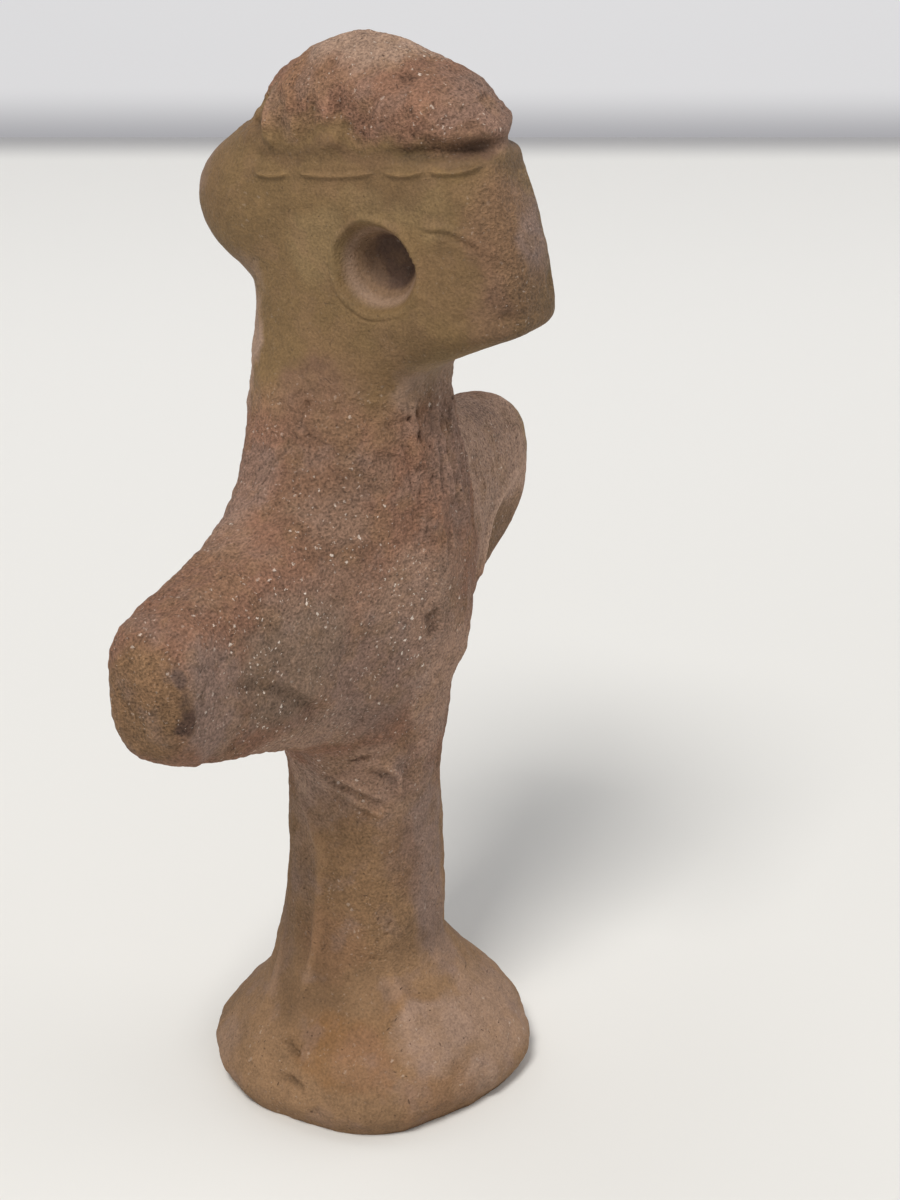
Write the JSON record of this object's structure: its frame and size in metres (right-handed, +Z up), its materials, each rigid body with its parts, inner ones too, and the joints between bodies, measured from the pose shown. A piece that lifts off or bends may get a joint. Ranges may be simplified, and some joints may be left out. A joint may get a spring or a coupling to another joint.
{
  "type": "hand-modelled clay figure",
  "caption": "Standing clay figure with a bell foot, a round stem, stub arms, a thin beaked head with pressed eye bowls, and a domed cap.",
  "frame": {"origin": "middle of the foot's resting face", "axes": "+Z up along the stem, -Y the way the beak points, -X along the figure's right arm"},
  "size_m": [0.092, 0.0504, 0.15],
  "materials": {
    "ochre_clay": "unglazed fired clay, matte, yellow-brown, smoothed by hand with sand grains and scratches",
    "rose_clay": "unglazed fired clay, matte, pinkish brown, rough and grainy",
    "umber_clay": "unglazed fired clay, matte, darker brown, smoothed by hand"
  },
  "bodies": {
    "root": {"foot": "ochre_clay", "stem": "ochre_clay", "torso": "rose_clay", "right_arm": "umber_clay", "left_arm": "umber_clay", "head": "ochre_clay", "cap": "rose_clay", "hair_knot": "umber_clay"}
  },
  "joints": []
}
